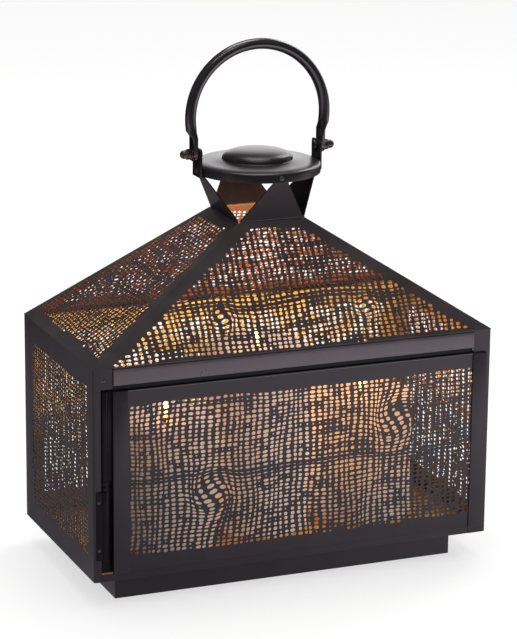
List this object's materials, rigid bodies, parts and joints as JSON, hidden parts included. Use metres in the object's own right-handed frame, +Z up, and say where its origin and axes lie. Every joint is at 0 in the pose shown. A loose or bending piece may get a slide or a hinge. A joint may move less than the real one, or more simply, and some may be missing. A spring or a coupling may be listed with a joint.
{
  "type": "punched tin lantern",
  "caption": "House-shaped punched-sheet lantern with a hinged front door, hipped roof, round vented cap and swinging bail handle, holding pillar candles.",
  "frame": {"origin": "middle of the whole object's length and depth, on the surface it stands on (the foot of the plinth)", "axes": "+Z up; the door and its hinge face -Y; the door's hinge is at the -X end; +X runs along the length"},
  "size_m": [0.31, 0.1616, 0.3907],
  "materials": {
    "tin_sheet": "blackened bronze, semi-gloss",
    "cap_sheet": "blackened bronze, gloss",
    "handle_bar": "blackened bronze, satin",
    "fasteners": "blackened, semi-gloss",
    "hinge_steel": "blackened, semi-gloss",
    "magnet": "dull ferrite",
    "wax": "ivory wax",
    "wick": "charred cotton",
    "flame": "glowing amber"
  },
  "bodies": {
    "lantern_body": {"plinth": "tin_sheet", "floor_pan": "tin_sheet", "left_side_panel": "tin_sheet", "right_side_panel": "tin_sheet", "back_panel": "tin_sheet", "front_header": "tin_sheet", "header_rivet": "fasteners", "cap": "cap_sheet", "cap_rivets": "fasteners", "ear_left": "cap_sheet", "ear_right": "cap_sheet", "bail_bolts": "fasteners", "bail_washers": "fasteners", "acorn_nuts": "fasteners", "hinge_post_leaf": "hinge_steel", "hinge_leaf_rivets": "fasteners", "hinge_pin": "hinge_steel", "hinge_washers": "hinge_steel", "door_magnet": "magnet", "roof_front": "tin_sheet", "roof_right": "tin_sheet", "roof_back": "tin_sheet", "roof_left": "tin_sheet", "candle_left": "wax", "wick_left": "wick", "flame_left": "flame", "candle_middle": "wax", "wick_middle": "wick", "flame_middle": "flame", "candle_right": "wax", "wick_right": "wick", "flame_right": "flame"},
    "door": {"door_screen": "tin_sheet", "door_left_stile": "tin_sheet", "door_right_stile": "tin_sheet", "hinge_door_leaf": "hinge_steel", "door_leaf_rivets": "fasteners"},
    "bail": {"bail_handle": "handle_bar"}
  },
  "joints": [
    {"name": "door_swing", "type": "hinge", "parent": "lantern_body", "child": "door", "pos_m": [-0.1466, -0.07845, 0.09], "axis": [0, 0, -1], "range_deg": [0, 140]},
    {"name": "bail_swing", "type": "hinge", "parent": "lantern_body", "child": "bail", "pos_m": [0, 0.00115, 0.3089], "axis": [1, 0, 0], "range_deg": [-140, 140]}
  ]
}
